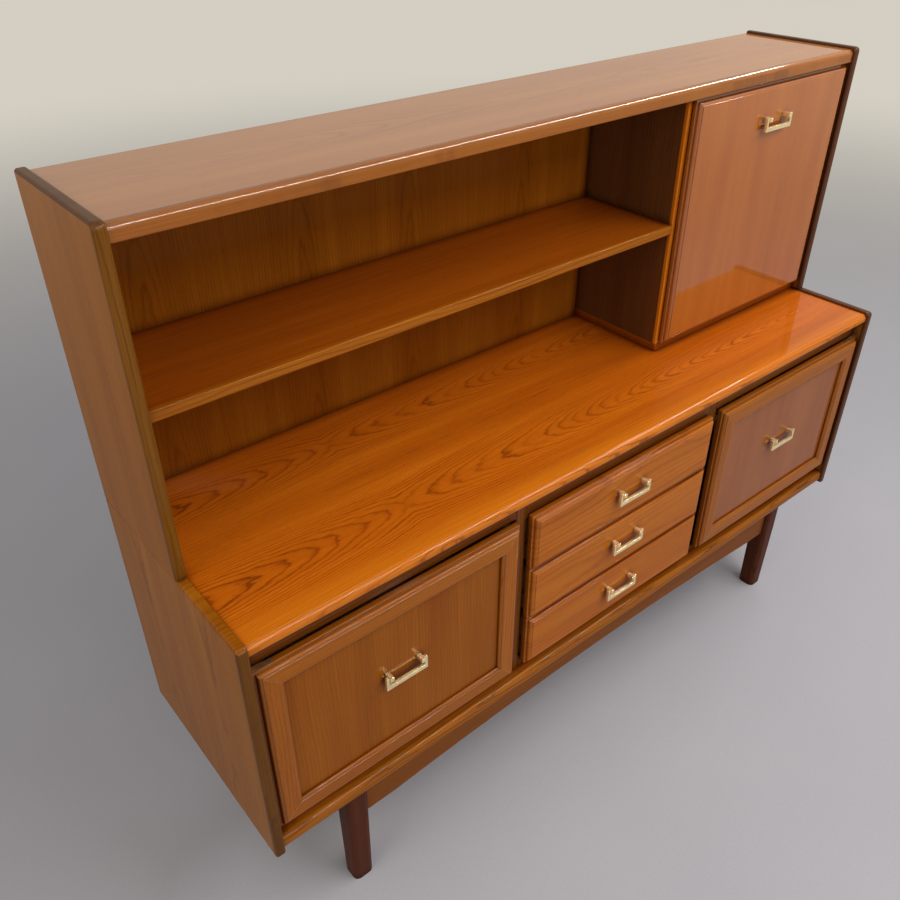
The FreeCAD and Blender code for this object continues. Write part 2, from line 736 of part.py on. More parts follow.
def make_hutch():
    side_panel("hutch_side_left", -half_width, hutch_front, S["hutch_depth"], base_rim,
               S["hutch_height"])
    side_panel("hutch_side_right", inside_x, hutch_front, S["hutch_depth"], base_rim,
               S["hutch_height"])
    length = 2 * inside_x
    keep(lipped_panel("hutch_top", -inside_x, length, hutch_face, back_y - hutch_face,
                      hutch_top_under, S["hutch_top_board"], S["top_round"]))
    keep(plain_board("hutch_back", -inside_x, back_face, base_top, length, S["back_board"],
                     hutch_top_under - base_top))
    inner_depth = back_face - hutch_frame
    keep(lipped_panel("compartment_floor", hutch_partition, inside_x - hutch_partition,
                      hutch_frame, inner_depth, base_top, S["inner_board"], S["under_round"]))
    keep(upright("hutch_partition", hutch_partition, hutch_frame, inner_depth, compartment_floor,
                 hutch_top_under - compartment_floor, S["inner_board"]))
    keep(lipped_panel("hutch_shelf", -inside_x, S["open_bay"], hutch_frame, inner_depth,
                      base_top + S["shelf_rise"], S["inner_board"], S["under_round"]))


# ---- handles ----------------------------------------------------------------------------------

def handle_post(label, x, face, z, outward):
    """A square post with a blind cross hole in its outer side."""
    body = new_body(label, x, face, z)
    half = S["post_width"] / 2
    section = outline(body, "XZ_Plane", "section", [rectangle(-half, -half, half, half)])
    pad(body, section, S["post_length"])
    bottom = half - S["pivot_seat"] - S["pivot_play"]
    hole = new_sketch(body, "YZ_Plane", "pivot", outward * bottom)
    add_circle(hole, -S["pivot_reach"], 0, S["pivot_round"] + S["pivot_play"])
    pocket(body, hole, S["pivot_seat"] + half, backwards=outward > 0)
    return body


def bail(label, x, face, z):
    """A flat U: a grip bar between two narrower arms, with two pivots that turn in the posts."""
    body = new_body(label, x, face - S["pivot_reach"], z)
    a = S["handle_width"] / 2
    inner = a - S["handle_arm"]
    grip = S["handle_bar"]
    top = S["handle_ear"]
    low = -S["handle_drop"]
    tip = S["bail_tip"]
    corner = S["bail_corner"]
    sketch = outline(body, "XZ_Plane", "bow", [[
        (-a, low, corner), (a, low, corner), (a, top - tip), (a - tip, top), (inner + tip, top),
        (inner, top - tip), (inner, low + grip), (-inner, low + grip), (-inner, top - tip),
        (-inner - tip, top), (tip - a, top), (-a, top - tip)]])
    pad(body, sketch, S["handle_depth"], middle=True)
    for name, offset, backwards in (("right", inner, True), ("left", -inner, False)):
        pivot = new_sketch(body, "YZ_Plane", "pivot_" + name, offset)
        add_circle(pivot, 0, 0, S["pivot_round"])
        pad(body, pivot, S["post_play"] + S["pivot_seat"], backwards=backwards)
    return body


def make_handle(name, x, face, z):
    offset = (S["handle_width"] - S["post_width"]) / 2 - S["handle_arm"] - S["post_play"]
    posts = [handle_post(name + "_post_left", x - offset, face, z, -1),
             handle_post(name + "_post_right", x + offset, face, z, 1)]
    keep(group(name + "_handle_posts", posts))
    body = bail(name + "_handle_bail", x, face, z)
    keep(body)


def make_handles():
    door_z = fronts_under + fronts_height / 2 + S["door_handle_lift"]
    panel_face = base_face + S["panel_recess"]
    middle = door_inner + door_width / 2
    make_handle("door_left", -middle, panel_face, door_z)
    make_handle("door_right", middle, panel_face, door_z)
    for number in (1, 2, 3):
        z = fronts_top - number * drawer_height - (number - 1) * S["drawer_gap"]
        make_handle("drawer_%d" % number, as_size(0), base_face, z + drawer_height / 2
                    + S["handle_lift"])
    make_handle("flap", flap_left + flap_width / 2, hutch_face,
                flap_under + flap_height - S["flap_handle_drop"])


# ---- hinges and catches -----------------------------------------------------------------------

def flap_leaf(label, x, y, z, turn, start, with_pin):
    """One leaf of a butt hinge. Its pin axis is the body's Z axis and it runs along +Y.

    The leaf with the pin has the two end knuckles; the other has the middle one and a bore.
    """
    body = new_body(label, x, y, z, turn)
    third = S["hinge_length"] / 3
    clear = S["knuckle_round"] + 2 * S["knuckle_gap"]
    gap = S["knuckle_gap"] / 2
    wide = S["hinge_leaf_width"]
    full = S["hinge_length"]
    if with_pin:
        edge = [(0, 0), (wide, 0), (wide, full), (0, full), (0, 2 * third + gap),
                (clear, 2 * third + gap), (clear, third - gap), (0, third - gap)]
        knuckles = ((as_size(0), third - gap), (2 * third + gap, third - gap))
    else:
        edge = [(clear, 0), (wide, 0), (wide, full), (clear, full), (clear, 2 * third - gap),
                (0, 2 * third - gap), (0, third + gap), (clear, third + gap)]
        knuckles = ((third + gap, third - 2 * gap),)
    plate = outline(body, "YZ_Plane", "leaf", [edge], start)
    pad(body, plate, S["hinge_leaf"])
    for number, (level, length) in enumerate(knuckles):
        ring = new_sketch(body, "XY_Plane", "knuckle_%d" % number, level)
        add_circle(ring, 0, 0, S["knuckle_round"])
        pad(body, ring, length)
    if with_pin:
        pin = new_sketch(body, "XY_Plane", "pin")
        add_circle(pin, 0, 0, S["hinge_pin"])
        pad(body, pin, full)
    else:
        bore = new_sketch(body, "XY_Plane", "bore")
        add_circle(bore, 0, 0, S["hinge_pin"] + S["pivot_play"])
        pocket(body, bore, 2 * full + 2, middle=True)
    return body


def door_bracket(label, x, y, z, turn):
    """An angle bracket on the side with a pivot pin that points down into the door plate."""
    body = new_body(label, x, y, z, turn)
    t = S["hinge_leaf"]
    wide = S["bracket_width"]
    reach = S["door_pivot_inset"] + S["door_gap"]
    near = t + S["bracket_gap"]
    tip = -wide / 2
    angle = outline(body, "XZ_Plane", "angle",
                    [[(tip, near), (reach, near), (reach, near + S["bracket_leg"]),
                      (reach - t, near + S["bracket_leg"]), (reach - t, near + t),
                      (tip, near + t)]])
    plate = pad(body, angle, wide, middle=True)
    corners = [name for side in (-1, 1) for name in edges_at(plate, x=tip, y=side * wide / 2)]
    chamfer(body, plate, corners, wide / 4)
    pin = new_sketch(body, "XY_Plane", "pin")
    add_circle(pin, 0, 0, S["door_pin"])
    pad(body, pin, near + t)
    return body


def door_plate(label, x, y, z, turn):
    """A plate on the edge of the door, bored for the pivot pin."""
    body = new_body(label, x, y, z, turn)
    wide = S["bracket_width"] - 1
    end = S["door_pivot_inset"] - wide
    start = end - S["plate_length"]
    edge = wide / 2
    cut = wide / 4
    plan = outline(body, "XY_Plane", "plan",
                   [[(start, cut - edge), (start + cut, -edge), (end - cut, -edge),
                     (end, cut - edge), (end, edge - cut), (end - cut, edge),
                     (start + cut, edge), (start, edge - cut)]])
    pad(body, plan, S["hinge_leaf"])
    bore = new_sketch(body, "XY_Plane", "bore")
    add_circle(bore, 0, 0, S["door_pin"] + S["pivot_play"])
    pocket(body, bore, 2 * S["hinge_leaf"] + 2, middle=True)
    return body


def make_hinges():
    """Pivot hinges at the top and bottom edge of each door and butt hinges under the flap."""
    cabinet = []
    pivot_x = door_outer - S["door_pivot_inset"]
    pivot_y = base_face + (S["land_depth"] + S["front_thick"]) / 2
    for side, sign, turns in (("right", 1, (None, ((1, 0, 0), 180))),
                              ("left", -1, (((0, 0, 1), 180), ((0, 1, 0), 180)))):
        moving = []
        for end, z, turn in (("top", fronts_top, turns[0]), ("bottom", fronts_under, turns[1])):
            name = "%s_%s" % (side, end)
            cabinet.append(door_bracket("door_bracket_" + name, sign * pivot_x, pivot_y, z, turn))
            moving.append(door_plate("door_plate_" + name, sign * pivot_x, pivot_y, z, turn))
        keep(group("door_%s_hinge_plates" % side, moving))
    # the flap turns about pins along X: one leaf lies on the compartment floor and the other
    # stands up the back of the flap, each just clear of the knuckles
    clear = S["knuckle_round"] + S["knuckle_clear"]
    y = hutch_face + S["flap_thick"] + clear
    z = compartment_floor + clear
    moving = []
    for side, x in (("left", flap_left + S["hinge_inset"]),
                    ("right", flap_right - S["hinge_inset"] - S["hinge_length"])):
        cabinet.append(flap_leaf("flap_floor_leaf_" + side, x, y, z, ((0, 1, 0), 90),
                                 clear - S["hinge_leaf"], True))
        moving.append(flap_leaf("flap_back_leaf_" + side, x, y, z, ((1, 1, 1), 120), -clear,
                                False))
    keep(group("flap_hinge_leaves", moving))
    keep(group("cabinet_hinge_leaves", cabinet))


def catch(label, x, y, z):
    """A magnetic catch: a housing with its outer corners cut off."""
    body = new_body(label, x, y, z)
    reach = S["catch_reach"]
    length = S["catch_length"]
    cut = S["catch_corner"]
    block = outline(body, "XY_Plane", "plan",
                    [[(0, 0), (reach - cut, 0), (reach, cut), (reach, length - cut),
                      (reach - cut, length), (0, length)]])
    pad(body, block, S["catch_height"])
    return body


def make_catches():
    y = base_face + S["front_thick"] + S["catch_play"]
    z = fronts_top - S["catch_drop"] - S["catch_height"] / 2
    hutch_y = hutch_face + S["flap_thick"] + S["catch_play"]
    hutch_z = flap_under + flap_height - S["catch_drop"] - S["catch_height"] / 2
    catches = [catch("catch_left", -partition_out - S["catch_reach"], y, z),
               catch("catch_right", partition_out, y, z),
               catch("catch_flap", hutch_partition + S["inner_board"], hutch_y, hutch_z)]
    keep(group("magnetic_catches", catches))


# ---- build, check and write -------------------------------------------------------------------

def build():
    make_base_carcass()
    make_cupboard_shelves()
    make_underframe()
    framed_door("door_left", -door_outer)
    framed_door("door_right", door_inner)
    make_drawers()
    make_hutch()
    keep(slab_front("flap", flap_left, hutch_face, flap_under, flap_width, flap_height,
                    S["flap_thick"]))
    make_handles()
    make_hinges()
    make_catches()
    doc.recompute()


def write():
    for item in doc.Objects:
        if "Invalid" in item.State or "Error" in item.State:
            raise RuntimeError("%s did not build: %s" % (item.Label, item.State))
    os.makedirs(NODE_FOLDER, exist_ok=True)
    for item in nodes:
        if item.Shape.isNull() or not item.Shape.isValid():
            raise RuntimeError("%s has no valid shape" % item.Label)
        item.Shape.exportStep(os.path.join(NODE_FOLDER, item.Label + ".step"))
    print("%d nodes written" % len(nodes))


build()
write()
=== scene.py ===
import math

import bmesh
import bpy
from mathutils import Matrix, Vector


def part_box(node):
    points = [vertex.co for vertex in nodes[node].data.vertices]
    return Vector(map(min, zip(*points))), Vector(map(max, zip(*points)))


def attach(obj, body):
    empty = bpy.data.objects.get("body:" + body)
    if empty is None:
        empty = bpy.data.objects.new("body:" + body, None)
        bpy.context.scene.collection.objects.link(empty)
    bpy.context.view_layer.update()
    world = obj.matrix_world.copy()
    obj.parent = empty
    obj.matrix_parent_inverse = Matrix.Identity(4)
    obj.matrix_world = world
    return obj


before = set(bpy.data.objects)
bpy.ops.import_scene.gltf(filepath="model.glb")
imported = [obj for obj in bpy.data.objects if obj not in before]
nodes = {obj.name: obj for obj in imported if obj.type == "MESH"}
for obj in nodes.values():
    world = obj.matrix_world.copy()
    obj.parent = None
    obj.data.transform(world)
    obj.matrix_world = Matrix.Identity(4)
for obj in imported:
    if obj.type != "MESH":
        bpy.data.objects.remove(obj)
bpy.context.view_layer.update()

# ---------------------------------------------------------------- sizes, in metres

BASE_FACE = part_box("base_top")[0].y
HUTCH_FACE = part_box("hutch_top")[0].y
BASE_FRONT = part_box("base_side_left")[0].y
HUTCH_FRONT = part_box("hutch_side_left")[0].y
SHELF_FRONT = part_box("hutch_shelf")[0].y
BACK_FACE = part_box("hutch_back")[1].y
BASE_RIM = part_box("base_side_left")[1].z
HUTCH_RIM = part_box("hutch_side_left")[1].z
SIDE_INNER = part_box("base_top")[1].x

# ---------------------------------------------------------------- shader graphs


class Graph:
    """One material, with short calls for the nodes in it."""

    def __init__(self, name):
        self.material = bpy.data.materials.new(name)
        self.material.use_nodes = True
        self.tree = self.material.node_tree
        self.tree.nodes.clear()
        self.output = self.add("ShaderNodeOutputMaterial")

    def add(self, kind, **settings):
        node = self.tree.nodes.new(kind)
        for key, value in settings.items():
            setattr(node, key, value)
        return node

    def put(self, socket, value):
        """Link a socket to a socket, or set it to a plain value."""
        if isinstance(value, bpy.types.NodeSocket):
            self.tree.links.new(value, socket)
        elif value is not None:
            socket.default_value = value

    def math(self, operation, *values, clamp=False):
        node = self.add("ShaderNodeMath", operation=operation, use_clamp=clamp)
        for socket, value in zip(node.inputs, values):
            self.put(socket, value)
        return node.outputs[0]

    def scale_add(self, value, factor, shift=0.0):
        return self.math("MULTIPLY_ADD", value, factor, shift)

    def vector(self, x, y, z):
        node = self.add("ShaderNodeCombineXYZ")
        for socket, value in zip(node.inputs, (x, y, z)):
            self.put(socket, value)
        return node.outputs[0]

    def position(self):
        """The place in the object's own frame, as three sockets."""
        node = self.add("ShaderNodeSeparateXYZ")
        self.put(node.inputs[0], self.add("ShaderNodeTexCoord").outputs["Object"])
        return node.outputs

    def place(self):
        """The place in the object's own frame, as one vector socket."""
        return self.vector(*self.position())

    def noise(self, vector, scale=1.0, detail=2.0, rough=0.5):
        node = self.add("ShaderNodeTexNoise")
        self.put(node.inputs["Vector"], vector)
        self.put(node.inputs["Scale"], scale)
        self.put(node.inputs["Detail"], detail)
        self.put(node.inputs["Roughness"], rough)
        return node.outputs["Fac"]

    def ramp(self, value, stops):
        node = self.add("ShaderNodeValToRGB")
        elements = node.color_ramp.elements
        while len(elements) < len(stops):
            elements.new(0.5)
        for element, (place, colour) in zip(elements, stops):
            element.position = place
            element.color = (*colour, 1.0) if len(colour) == 3 else colour
        self.put(node.inputs[0], value)
        return node.outputs[0]

    def step(self, value, low, high):
        """0 below low, 1 above high, smooth between them."""
        node = self.add("ShaderNodeMapRange", interpolation_type="SMOOTHSTEP")
        for socket, number in zip(node.inputs, (value, low, high, 0.0, 1.0)):
            self.put(socket, number)
        return node.outputs[0]

    def mix(self, factor, first, second, blend="MIX"):
        node = self.add("ShaderNodeMix", data_type="RGBA", blend_type=blend)
        for index, value in ((0, factor), (6, first), (7, second)):
            if isinstance(value, tuple):
                value = (*value, 1.0)
            self.put(node.inputs[index], value)
        return node.outputs[2]

    def edge(self, radius):
        node = self.add("ShaderNodeBevel", samples=8)
        node.inputs["Radius"].default_value = radius
        return node.outputs[0]

    def corners(self, distance):
        """1 in the open, falling to 0 deep in a corner or a groove."""
        node = self.add("ShaderNodeAmbientOcclusion", samples=6)
        node.inputs["Distance"].default_value = distance
        return node.outputs["AO"]

    def sharp_edges(self, rounded):
        """1 on sharp edges, 0 on flat faces."""
        flat = self.add("ShaderNodeNewGeometry").outputs["Normal"]
        turned = self.add("ShaderNodeVectorMath", operation="DOT_PRODUCT")
        self.put(turned.inputs[0], rounded)
        self.put(turned.inputs[1], flat)
        return self.step(self.math("SUBTRACT", 1.0, turned.outputs["Value"]), 0.01, 0.16)

    def bump(self, height, strength, distance, normal=None):
        node = self.add("ShaderNodeBump")
        self.put(node.inputs["Height"], height)
        self.put(node.inputs["Strength"], strength)
        self.put(node.inputs["Distance"], distance)
        self.put(node.inputs["Normal"], normal)
        return node.outputs[0]

    def surface(self, **values):
        """The shader itself, with its sockets named in words joined by underscores."""
        node = self.add("ShaderNodeBsdfPrincipled")
        for key, value in values.items():
            name = " ".join(w.upper() if w == "ior" else w.capitalize() for w in key.split("_"))
            if isinstance(value, tuple):
                value = (*value, 1.0)
            self.put(node.inputs[name], value)
        self.tree.links.new(node.outputs[0], self.output.inputs["Surface"])
        return self.material


# ---------------------------------------------------------------- wood

RUN_SHIFT, LAYER_SHIFT = 1.37, 0.71     # metres by which one unit of seed moves the grain
RING_SHIFT = 40.0                       # keeps the count of rings above 0
RING_LINE = ((0.0, 0.35), (0.15, 0.05), (0.50, 0.0), (0.76, 0.35), (0.88, 1.0), (0.95, 0.85))
TONE_STOPS = (0.0, 0.38, 0.68, 1.0)     # where the four tones lie
STRIP_STOPS = (0.05, 0.52, 0.95)        # where the three colours of a strip lie
EDGE_HIGHLIGHT = (1.45, 1.50, 1.60)             # painted highlight: brightens the colour along sharp edges
PAINTED_SHADE = (0.30, 0.20, 0.16)              # painted shade: darkens corners and grooves
PAINTED_SHADE_REACH = 0.022


def board_axes(graph, along, face):
    """Sockets for the place along the grain, across it, and into the board."""
    places = dict(zip("xyz", graph.position()))
    across = ({"x", "y", "z"} - {along, face}).pop()
    return places[along], places[across], places[face], places


def wood(name, tones, along, face, seed, figure="straight", leaf=0.25, start=0.0, heart=0.5,
         depth=0.03, slope=0.02, middle=0.0, swing=0.05, spacing=0.0055, contrast=0.6,
         gloss=0.25, coat_ior=1.5, bands=(), arris=0.0022):
    """Lacquered wood. tones: darkest line, mid, light and highlight colours, and a second hue.

    Each of bands is (axis, full, none, colours): a strip of other wood near an edge.
    """
    graph = Graph(name)
    length, across, into, places = board_axes(graph, along, face)
    run = graph.math("ADD", length, seed * RUN_SHIFT)
    leafed = graph.math("PINGPONG", graph.math("ADD", across, -start), leaf)
    side = graph.math("ADD", leafed, -heart * leaf)
    layer = graph.math("ADD", into, seed * LAYER_SHIFT)

    def field(per_run, per_side, **settings):
        """Noise with so many cells a metre along the grain and across it."""
        return graph.noise(graph.vector(graph.scale_add(run, per_run),
                                        graph.scale_add(side, per_side), layer), **settings)

    # distance from the pith, which lies below the face and tilts away from the middle
    if figure == "crown":
        drift = graph.noise(graph.vector(graph.scale_add(run, 1.3), seed, 0.0), detail=1.0)
        away = graph.math("ABSOLUTE", graph.math("ADD", length, -middle))
        pith = graph.math("ADD", graph.scale_add(away, -slope, depth),
                          graph.scale_add(drift, swing, -swing / 2))
        radius = graph.math("SQRT", graph.math(
            "ADD", graph.math("MULTIPLY", side, side), graph.math("MULTIPLY", pith, pith)))
        reach = 0.012
    else:
        radius = graph.math("ADD", graph.scale_add(side, 0.8), graph.scale_add(into, 0.6))
        reach = 0.040
    for noise, amount in ((field(1.5, 6.0), reach), (field(12.0, 40.0), 0.0030),
                          (field(45.0, 110.0), 0.0022)):
        radius = graph.math("ADD", radius, graph.scale_add(noise, amount, -amount / 2))
    count = graph.scale_add(radius, 1.0 / spacing, RING_SHIFT)
    ring = graph.math("FRACT", count)
    line = graph.ramp(ring, [(stop, (level,) * 3) for stop, level in RING_LINE])
    own = graph.noise(graph.vector(graph.scale_add(count, 0.85), graph.scale_add(run, 2.6), 3.0),
                      detail=1.0)
    line = graph.math("MULTIPLY", line, graph.scale_add(own, 2.2, -0.45), clamp=True)

    fibre = graph.noise(graph.vector(graph.scale_add(run, 9.0), graph.scale_add(across, 420.0),
                                     graph.scale_add(into, 420.0)), detail=3.0, rough=0.6)
    broad = field(0.7, 22.0)
    pores = graph.noise(graph.vector(graph.scale_add(run, 70.0), graph.scale_add(across, 1300.0),
                                     graph.scale_add(into, 1300.0)), detail=1.0)
    pores = graph.step(pores, 0.58, 0.72)

    tone = graph.scale_add(line, -contrast, 0.64)
    tone = graph.math("ADD", tone, graph.scale_add(fibre, 0.44, -0.22))
    tone = graph.math("ADD", tone, graph.scale_add(broad, 0.60, -0.30), clamp=True)
    colour = graph.ramp(tone, list(zip(TONE_STOPS, tones)))
    hue = graph.noise(graph.vector(graph.scale_add(run, 1.1), graph.scale_add(side, 5.0), seed))
    colour = graph.mix(graph.step(hue, 0.42, 0.75), colour, tones[4], blend="MULTIPLY")
    colour = graph.mix(graph.scale_add(pores, 0.30), colour, tones[0])

    for axis, full, none, strip in bands:
        shown = graph.step(places[axis], min(full, none), max(full, none))
        if full < none:
            shown = graph.math("SUBTRACT", 1.0, shown)
        strip = graph.ramp(tone, list(zip(STRIP_STOPS, strip)))
        colour = graph.mix(shown, colour, strip)

    height = graph.math("SUBTRACT", graph.scale_add(tone, 0.35), pores)
    rounded = graph.edge(arris)
    sharp_edge_mask = graph.sharp_edges(rounded)
    # painted highlight: the colour is brightened along sharp edges
    colour = graph.mix(graph.scale_add(sharp_edge_mask, 0.7), colour, EDGE_HIGHLIGHT, blend="MULTIPLY")
    # painted shade: the colour is darkened where ambient occlusion finds a corner or groove
    # nearby
    painted_shade = graph.scale_add(graph.step(graph.corners(PAINTED_SHADE_REACH), 0.32, 0.97), -1.0, 1.0)
    colour = graph.mix(painted_shade, colour, PAINTED_SHADE, blend="MULTIPLY")
    polish = graph.noise(graph.vector(*places.values()), scale=22.0, detail=2.0)
    return graph.surface(
        base_color=colour,
        roughness=graph.scale_add(graph.math("ADD", fibre, pores), 0.10, 0.38),
        specular_ior_level=0.02,
        normal=graph.bump(height, 0.20, 0.0004, rounded),
        coat_weight=graph.scale_add(sharp_edge_mask, 1.0 - gloss, gloss),
        coat_roughness=0.06,
        coat_ior=coat_ior,
        coat_normal=graph.bump(polish, 0.015, 0.002, rounded),
    )


def tones(darkest, mid, light, highlight, hue=(0.86, 0.74, 0.66)):
    return [darkest, mid, light, highlight, hue]


TOP = tones((0.110, 0.020, 0.002), (0.330, 0.068, 0.003),
            (0.480, 0.112, 0.004), (0.620, 0.180, 0.010),
            (0.92, 0.80, 0.70))
HUTCH_TOP = tones((0.150, 0.042, 0.008), (0.290, 0.092, 0.016),
                  (0.360, 0.125, 0.022), (0.430, 0.160, 0.030))
SIDE = tones((0.110, 0.032, 0.003), (0.225, 0.075, 0.005),
             (0.300, 0.110, 0.009), (0.370, 0.150, 0.018),
             (0.90, 0.84, 0.80))
# painted light and shade: the left door's panel is a darker shaded copy, the right one's a
# lighter, paler lit copy of one veneer
PANEL_SHADED_LEFT = tones((0.080, 0.022, 0.002), (0.200, 0.056, 0.003),
                   (0.270, 0.082, 0.005), (0.350, 0.118, 0.010))
PANEL_LIT_RIGHT = tones((0.120, 0.034, 0.008), (0.230, 0.070, 0.014),
                    (0.300, 0.095, 0.020), (0.360, 0.125, 0.030))
FRAME = tones((0.085, 0.021, 0.002), (0.220, 0.060, 0.003),
              (0.315, 0.096, 0.005), (0.420, 0.145, 0.010))
DRAWER = tones((0.140, 0.034, 0.003), (0.310, 0.082, 0.005),
               (0.410, 0.120, 0.007), (0.510, 0.170, 0.014))
FLAP = tones((0.150, 0.036, 0.004), (0.290, 0.078, 0.008),
             (0.360, 0.105, 0.012), (0.430, 0.140, 0.018))
HUTCH_INSIDE = tones((0.060, 0.014, 0.001), (0.152, 0.040, 0.002),
                     (0.204, 0.058, 0.003), (0.264, 0.084, 0.006))
# painted shade: the hutch partition's face is a darker copy of the hutch's inside wood
SHADED_HUTCH_WALL = tones((0.030, 0.010, 0.003), (0.080, 0.027, 0.008),
                   (0.110, 0.039, 0.011), (0.155, 0.058, 0.016))
SHELF = tones((0.090, 0.018, 0.001), (0.215, 0.044, 0.002),
              (0.285, 0.064, 0.003), (0.360, 0.092, 0.006))
FLOOR_BOARD = tones((0.120, 0.028, 0.003), (0.270, 0.068, 0.005),
                    (0.370, 0.102, 0.008), (0.470, 0.150, 0.014))
DARK = tones((0.022, 0.005, 0.002), (0.056, 0.013, 0.005),
             (0.080, 0.021, 0.008), (0.115, 0.033, 0.012))
APRON = tones((0.070, 0.018, 0.003), (0.150, 0.044, 0.006),
              (0.205, 0.064, 0.009), (0.270, 0.090, 0.014))
CARCASS = tones((0.060, 0.016, 0.002), (0.130, 0.038, 0.004),
                (0.175, 0.054, 0.006), (0.230, 0.076, 0.010))
INNER = tones((0.190, 0.095, 0.040), (0.330, 0.185, 0.085),
              (0.420, 0.245, 0.120), (0.500, 0.310, 0.165))
BEECH = tones((0.340, 0.210, 0.115), (0.500, 0.330, 0.190),
              (0.590, 0.405, 0.245), (0.660, 0.480, 0.310),
              (0.97, 0.92, 0.86))
LIP = [(0.180, 0.042, 0.003), (0.470, 0.125, 0.005), (0.620, 0.200, 0.010)]
LIP_DARK = [(0.090, 0.025, 0.002), (0.240, 0.070, 0.003), (0.400, 0.130, 0.006)]
LIP_OLIVE = [(0.030, 0.010, 0.002), (0.115, 0.042, 0.004), (0.230, 0.090, 0.008)]
RIM = [(0.030, 0.010, 0.003), (0.085, 0.032, 0.009), (0.130, 0.054, 0.016)]
# painted shade: darker front strips and top edges for the right-hand sides
SHADED_RIGHT_EDGES = [(0.022, 0.008, 0.003), (0.070, 0.024, 0.010), (0.110, 0.040, 0.016)]
# painted highlight along the front of the base top
PAINTED_FRONT_HIGHLIGHT = [(0.260, 0.062, 0.004), (0.520, 0.140, 0.006), (0.700, 0.215, 0.011)]
# a thin dark line where the front strip meets the veneer
DARK_LINE = [(0.045, 0.010, 0.002), (0.090, 0.024, 0.004), (0.130, 0.036, 0.006)]

SHARP = 0.0006              # a strip's glue line
DARK_LINE_WIDTH = 0.0018


def front_lip(face, depth=0.009, colours=LIP):
    """A strip glued to the front edge at y = face."""
    return ("y", face + depth, face + depth + SHARP, colours)


def top_lip(face, depth=0.010, colours=LIP):
    """A front strip with a thin dark line where it meets the veneer."""
    return [front_lip(face, depth + DARK_LINE_WIDTH, DARK_LINE), front_lip(face, depth, colours)]


def side_bands(front, rim, front_colours, rim_colours):
    """The front strip and the darker top edge of a side."""
    return [front_lip(front, 0.008, front_colours), ("z", rim - 0.004, rim - 0.005, rim_colours)]


WOODS = {
    "base_top": dict(tones=TOP, along="x", face="z", figure="crown", leaf=0.232, start=BASE_FACE,
                     heart=0.50, depth=0.090, slope=0.075, middle=-0.45, swing=0.020,
                     spacing=0.0034, contrast=0.46, gloss=0.40,
                     # painted highlight: the top is painted lighter gold towards its front edge
                     bands=[("y", BASE_FACE + 0.006, BASE_FACE + 0.060, PAINTED_FRONT_HIGHLIGHT),
                            front_lip(BASE_FACE, 0.007)]),
    "hutch_top": dict(tones=HUTCH_TOP, along="x", face="z", figure="crown", leaf=0.27,
                      start=HUTCH_FACE, heart=0.55, depth=0.070, slope=0.030, middle=0.2,
                      contrast=0.30, gloss=0.80, coat_ior=1.6,
                      bands=top_lip(HUTCH_FACE, colours=LIP_DARK)),
    "base_side_left": dict(tones=SIDE, along="z", face="x", figure="crown", leaf=0.228,
                           start=BASE_FRONT, heart=0.5, depth=0.08, middle=0.5, contrast=0.30,
                           bands=side_bands(BASE_FRONT, BASE_RIM, LIP_OLIVE, LIP_DARK)),
    "hutch_side_left": dict(tones=SIDE, along="z", face="x", leaf=0.271, start=HUTCH_FRONT,
                            contrast=0.26,
                            bands=side_bands(HUTCH_FRONT, HUTCH_RIM, LIP_OLIVE, RIM)),
    "hutch_back": dict(tones=HUTCH_INSIDE, along="z", face="y", figure="crown", leaf=0.255,
                       start=-SIDE_INNER, heart=0.45, depth=0.045, slope=0.045,
                       middle=1.4, contrast=0.30, gloss=0.06),
    # painted shade on the partition's face
    "hutch_partition": dict(tones=SHADED_HUTCH_WALL, along="z", face="x", leaf=0.24, contrast=0.3,
                            bands=[front_lip(SHELF_FRONT, 0.007)]),
    "hutch_shelf": dict(tones=SHELF, along="x", face="z", leaf=0.236, start=SHELF_FRONT,
                        contrast=0.40, bands=[front_lip(SHELF_FRONT, 0.007, LIP_DARK)]),
    "compartment_floor": dict(tones=SHELF, along="x", face="z", contrast=0.45),
    "flap": dict(tones=FLAP, along="z", face="y", leaf=0.17, start=0.297, heart=0.4,
                 contrast=0.24, gloss=1.0, coat_ior=1.7),
    "base_floor": dict(tones=FLOOR_BOARD, along="x", face="z", contrast=0.5,
                       bands=[front_lip(BASE_FACE, 0.012, LIP_DARK)]),
    "base_partition_left": dict(tones=CARCASS, along="z", face="x"),
    "front_top_rails": dict(tones=CARCASS, along="x", face="y"),
    "front_bottom_rails": dict(tones=CARCASS, along="x", face="y"),
    "cupboard_shelves": dict(tones=INNER, along="x", face="z", contrast=0.4, gloss=0.15),
    "shelf_battens": dict(tones=INNER, along="y", face="x", contrast=0.4, gloss=0.1),
    "drawer_runners": dict(tones=BEECH, along="y", face="x", contrast=0.25, gloss=0.0),
    "underframe_long_rails": dict(tones=APRON, along="x", face="y", contrast=0.4, gloss=0.15),
    "underframe_side_rails": dict(tones=APRON, along="y", face="x", contrast=0.4, gloss=0.15),
}
for copy, source, changes in (
        # the right-hand sides carry painted shade on their front strips and top edges
        ("base_side_right", "base_side_left",
         dict(bands=side_bands(BASE_FRONT, BASE_RIM, SHADED_RIGHT_EDGES, SHADED_RIGHT_EDGES))),
        ("hutch_side_right", "hutch_side_left",
         dict(bands=side_bands(HUTCH_FRONT, HUTCH_RIM, SHADED_RIGHT_EDGES, SHADED_RIGHT_EDGES))),
        ("base_partition_right", "base_partition_left", {})):
    WOODS[copy] = dict(WOODS[source], **changes)
for corner in ("front_left", "front_right", "back_left", "back_right"):
    WOODS["leg_" + corner] = dict(tones=DARK, along="z", face="y", contrast=0.45, gloss=0.15,
                                  spacing=0.004)
